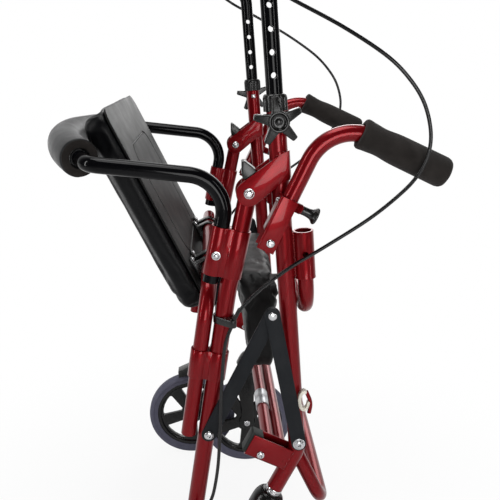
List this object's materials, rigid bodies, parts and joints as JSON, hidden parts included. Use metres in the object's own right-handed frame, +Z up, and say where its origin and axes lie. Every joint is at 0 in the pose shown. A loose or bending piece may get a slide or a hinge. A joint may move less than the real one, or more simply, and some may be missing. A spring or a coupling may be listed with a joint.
{
  "type": "folding rollator",
  "caption": "Folded rollator and transport chair: red tube frame, flip-up seat, foam backrest, swivel armrests, loop brakes, casters.",
  "frame": {"origin": "on the floor, under the middle of the bounding box of the folded object standing on four wheels", "axes": "+X forward, the way the user walks; +Y to the user's left; +Z up"},
  "size_m": [0.5791, 0.628, 1.1571],
  "materials": {
    "paint_red": "glossy metallic candy red paint",
    "paint_black": "glossy black paint",
    "coat_black": "satin black coating",
    "foam_black": "matte closed-cell foam",
    "plastic_black": "moulded black plastic, fine grain",
    "vinyl_black": "black vinyl, low sheen",
    "board_black": "matte moulded board",
    "nylon_black": "woven nylon",
    "tyre_grey": "blue-grey solid tyre",
    "zinc_steel": "bright zinc plate",
    "label_cream": "cream moulded plastic",
    "band_silver": "brushed silver band",
    "plug_grey": "dark grey moulded plug",
    "cable_black": "black cable jacket"
  },
  "bodies": {
    "front_frame": {"front_cross_tube": "paint_red", "lower_cross_tube": "paint_red", "brace_tube": "paint_red", "tube_band": "band_silver", "strap_clip": "label_cream", "bag": "nylon_black", "front_leg_right": "paint_red", "leg_collar_right": "plastic_black", "arm_bracket_right": "paint_red", "channel_plug_right": "plug_grey", "pivot_bolt_right": "zinc_steel", "front_leg_left": "paint_red", "leg_collar_left": "plastic_black", "arm_bracket_left": "paint_red", "channel_plug_left": "plug_grey", "pivot_bolt_left": "zinc_steel"},
    "rear_frame": {"rear_cross_tube": "paint_red", "backrest_tube": "paint_black", "backrest_foam": "foam_black", "rear_leg_right": "paint_red", "leg_plug_right": "plastic_black", "rear_leg_left": "paint_red", "leg_plug_left": "plastic_black"},
    "seat": {"seat_board": "board_black", "seat_cushion": "vinyl_black"},
    "foot_rest": {"foot_bar": "paint_red"},
    "handle_right": {"handle_tube_right": "paint_black", "hand_grip_right": "foam_black", "brake_housing_right": "plastic_black", "brake_cable_right": "cable_black"},
    "brake_lever_right": {"brake_lever_right": "plastic_black"},
    "star_knob_right": {"star_knob_right": "plastic_black"},
    "arm_right": {"arm_tube_right": "paint_red", "arm_pad_right": "foam_black"},
    "arm_plunger_right": {"arm_plunger_right": "plastic_black"},
    "front_link_right": {"front_link_right": "coat_black"},
    "rear_link_right": {"rear_link_right": "coat_black"},
    "caster_right": {"caster_fork_right": "plastic_black"},
    "front_wheel_right": {"tyre_front_right": "tyre_grey", "hub_front_right": "plastic_black"},
    "rear_wheel_right": {"tyre_rear_right": "tyre_grey", "hub_rear_right": "plastic_black"},
    "brake_shoe_right": {"brake_shoe_right": "plastic_black"},
    "handle_left": {"handle_tube_left": "paint_black", "hand_grip_left": "foam_black", "brake_housing_left": "plastic_black", "brake_cable_left": "cable_black"},
    "brake_lever_left": {"brake_lever_left": "plastic_black"},
    "star_knob_left": {"star_knob_left": "plastic_black"},
    "arm_left": {"arm_tube_left": "paint_red", "arm_pad_left": "foam_black"},
    "arm_plunger_left": {"arm_plunger_left": "plastic_black"},
    "front_link_left": {"front_link_left": "coat_black"},
    "rear_link_left": {"rear_link_left": "coat_black"},
    "caster_left": {"caster_fork_left": "plastic_black"},
    "front_wheel_left": {"tyre_front_left": "tyre_grey", "hub_front_left": "plastic_black"},
    "rear_wheel_left": {"tyre_rear_left": "tyre_grey", "hub_rear_left": "plastic_black"},
    "brake_shoe_left": {"brake_shoe_left": "plastic_black"}
  },
  "joints": [
    {"name": "fold_hinge", "type": "hinge", "parent": "front_frame", "child": "rear_frame", "pos_m": [0.0204, 0, 0.7385], "axis": [0, 1, 0], "range_deg": [0, 46.8]},
    {"name": "seat_hinge", "type": "hinge", "parent": "rear_frame", "child": "seat", "pos_m": [-0.03592, 0, 0.598], "axis": [0, 1, 0], "range_deg": [0, 99.71]},
    {"name": "foot_rest_hinge", "type": "hinge", "parent": "front_frame", "child": "foot_rest", "pos_m": [0.0908, 0, 0.33], "axis": [0, 1, 0], "range_deg": [-75, 0]},
    {"name": "handle_slide_right", "type": "slide", "parent": "front_frame", "child": "handle_right", "axis": [-0.0748, 0, 0.9972], "range_m": [-0.0286, 0.0572], "deforming": ["brake_cable_right"]},
    {"name": "brake_lever_hinge_right", "type": "hinge", "parent": "handle_right", "child": "brake_lever_right", "pos_m": [-0.07318, -0.25, 1.04789], "axis": [0, 1, 0], "range_deg": [0, 11], "stiffness_Nm_per_rad": 0.5, "springref_deg": -28.65},
    {"name": "knob_turn_right", "type": "hinge", "parent": "front_frame", "child": "star_knob_right", "pos_m": [0.05708, -0.2777, 0.835], "axis": [0, 1, 0], "continuous": true},
    {"name": "arm_hinge_right", "type": "hinge", "parent": "front_frame", "child": "arm_right", "pos_m": [0.0472, -0.2775, 0.6765], "axis": [0, 1, 0], "range_deg": [0, 85]},
    {"name": "plunger_slide_right", "type": "slide", "parent": "arm_right", "child": "arm_plunger_right", "axis": [0.887, 0, -0.4617], "range_m": [0, 0.007], "stiffness_N_per_m": 300, "springref_m": -0.01},
    {"name": "front_link_hinge_right", "type": "hinge", "parent": "front_frame", "child": "front_link_right", "pos_m": [0.094, -0.25, 0.361], "axis": [0, 1, 0], "range_deg": [-48.67, 0]},
    {"name": "rear_link_hinge_right", "type": "hinge", "parent": "rear_frame", "child": "rear_link_right", "pos_m": [-0.0391, -0.25, 0.3783], "axis": [0, 1, 0], "range_deg": [0, 36.7]},
    {"name": "caster_swivel_right", "type": "hinge", "parent": "front_frame", "child": "caster_right", "pos_m": [0.06118, -0.25, 0.27377], "axis": [0.4462, 0, 0.8949], "range_deg": [-20, 20]},
    {"name": "front_wheel_spin_right", "type": "hinge", "parent": "caster_right", "child": "front_wheel_right", "pos_m": [0.04304, -0.25, 0.10001], "axis": [0, 1, 0], "continuous": true},
    {"name": "rear_wheel_spin_right", "type": "hinge", "parent": "rear_frame", "child": "rear_wheel_right", "pos_m": [-0.08372, -0.292, 0.1], "axis": [0, 1, 0], "continuous": true},
    {"name": "brake_shoe_hinge_right", "type": "hinge", "parent": "rear_frame", "child": "brake_shoe_right", "pos_m": [-0.06193, -0.25, 0.242], "axis": [0, 1, 0], "range_deg": [-3.05, 0]},
    {"name": "handle_slide_left", "type": "slide", "parent": "front_frame", "child": "handle_left", "axis": [-0.0748, 0, 0.9972], "range_m": [-0.0286, 0.0572], "deforming": ["brake_cable_left"]},
    {"name": "brake_lever_hinge_left", "type": "hinge", "parent": "handle_left", "child": "brake_lever_left", "pos_m": [-0.07318, 0.25, 1.04789], "axis": [0, 1, 0], "range_deg": [0, 11], "stiffness_Nm_per_rad": 0.5, "springref_deg": -28.65},
    {"name": "knob_turn_left", "type": "hinge", "parent": "front_frame", "child": "star_knob_left", "pos_m": [0.05708, 0.2777, 0.835], "axis": [0, 1, 0], "continuous": true},
    {"name": "arm_hinge_left", "type": "hinge", "parent": "front_frame", "child": "arm_left", "pos_m": [0.0472, 0.2775, 0.6765], "axis": [0, 1, 0], "range_deg": [0, 85]},
    {"name": "plunger_slide_left", "type": "slide", "parent": "arm_left", "child": "arm_plunger_left", "axis": [0.887, 0, -0.4617], "range_m": [0, 0.007], "stiffness_N_per_m": 300, "springref_m": -0.01},
    {"name": "front_link_hinge_left", "type": "hinge", "parent": "front_frame", "child": "front_link_left", "pos_m": [0.094, 0.25, 0.361], "axis": [0, 1, 0], "range_deg": [-48.67, 0]},
    {"name": "rear_link_hinge_left", "type": "hinge", "parent": "rear_frame", "child": "rear_link_left", "pos_m": [-0.0391, 0.25, 0.3783], "axis": [0, 1, 0], "range_deg": [0, 36.7]},
    {"name": "caster_swivel_left", "type": "hinge", "parent": "front_frame", "child": "caster_left", "pos_m": [0.06118, 0.25, 0.27377], "axis": [0.4462, 0, 0.8949], "range_deg": [-20, 20]},
    {"name": "front_wheel_spin_left", "type": "hinge", "parent": "caster_left", "child": "front_wheel_left", "pos_m": [0.04304, 0.25, 0.10001], "axis": [0, 1, 0], "continuous": true},
    {"name": "rear_wheel_spin_left", "type": "hinge", "parent": "rear_frame", "child": "rear_wheel_left", "pos_m": [-0.08372, 0.292, 0.1], "axis": [0, 1, 0], "continuous": true},
    {"name": "brake_shoe_hinge_left", "type": "hinge", "parent": "rear_frame", "child": "brake_shoe_left", "pos_m": [-0.06193, 0.25, 0.242], "axis": [0, 1, 0], "range_deg": [-3.05, 0]}
  ],
  "couplings": [
    {"joint": "seat_hinge", "follows": "fold_hinge", "ratio": 2.1295},
    {"joint": "front_link_hinge_right", "follows": "fold_hinge", "ratio": -1.0378},
    {"joint": "rear_link_hinge_right", "follows": "fold_hinge", "ratio": 0.78195},
    {"joint": "brake_shoe_hinge_right", "follows": "brake_lever_hinge_right", "ratio": -0.2772},
    {"joint": "front_link_hinge_left", "follows": "fold_hinge", "ratio": -1.0378},
    {"joint": "rear_link_hinge_left", "follows": "fold_hinge", "ratio": 0.78195},
    {"joint": "brake_shoe_hinge_left", "follows": "brake_lever_hinge_left", "ratio": -0.2772}
  ]
}
